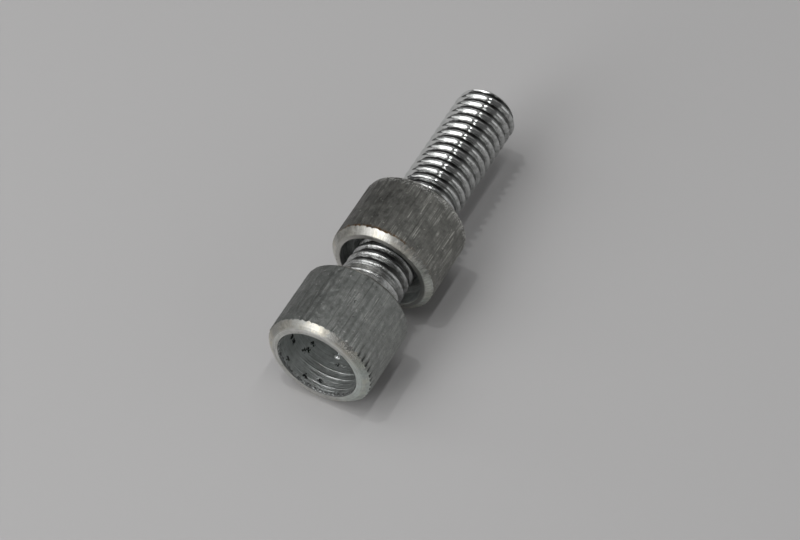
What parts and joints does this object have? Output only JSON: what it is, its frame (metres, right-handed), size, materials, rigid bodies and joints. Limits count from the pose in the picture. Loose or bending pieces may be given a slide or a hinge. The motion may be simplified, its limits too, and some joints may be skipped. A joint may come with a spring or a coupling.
{
  "type": "cable adjuster screw",
  "caption": "Knurled adjusting screw for a control cable, with a casing socket in its head, a drilled threaded shank and a knurled lock nut.",
  "frame": {"origin": "centre of the head's face, on which the part stands", "axes": "+Z along the screw's axis from the head's face to the tip"},
  "size_m": [0.0102, 0.0102, 0.0333],
  "materials": {
    "screw_steel": "turned and zinc plated, bright on the thread and the chamfers, dull on the knurl",
    "nut_steel": "turned and zinc plated, bright on the front chamfer, dull on the knurl"
  },
  "bodies": {
    "screw": {"adjuster_screw": "screw_steel"},
    "nut": {"lock_nut": "nut_steel"}
  },
  "joints": [
    {"name": "nut_travel", "type": "slide", "parent": "screw", "child": "nut", "axis": [0, 0, 1], "range_m": [-0.004, 0.0146]}
  ]
}
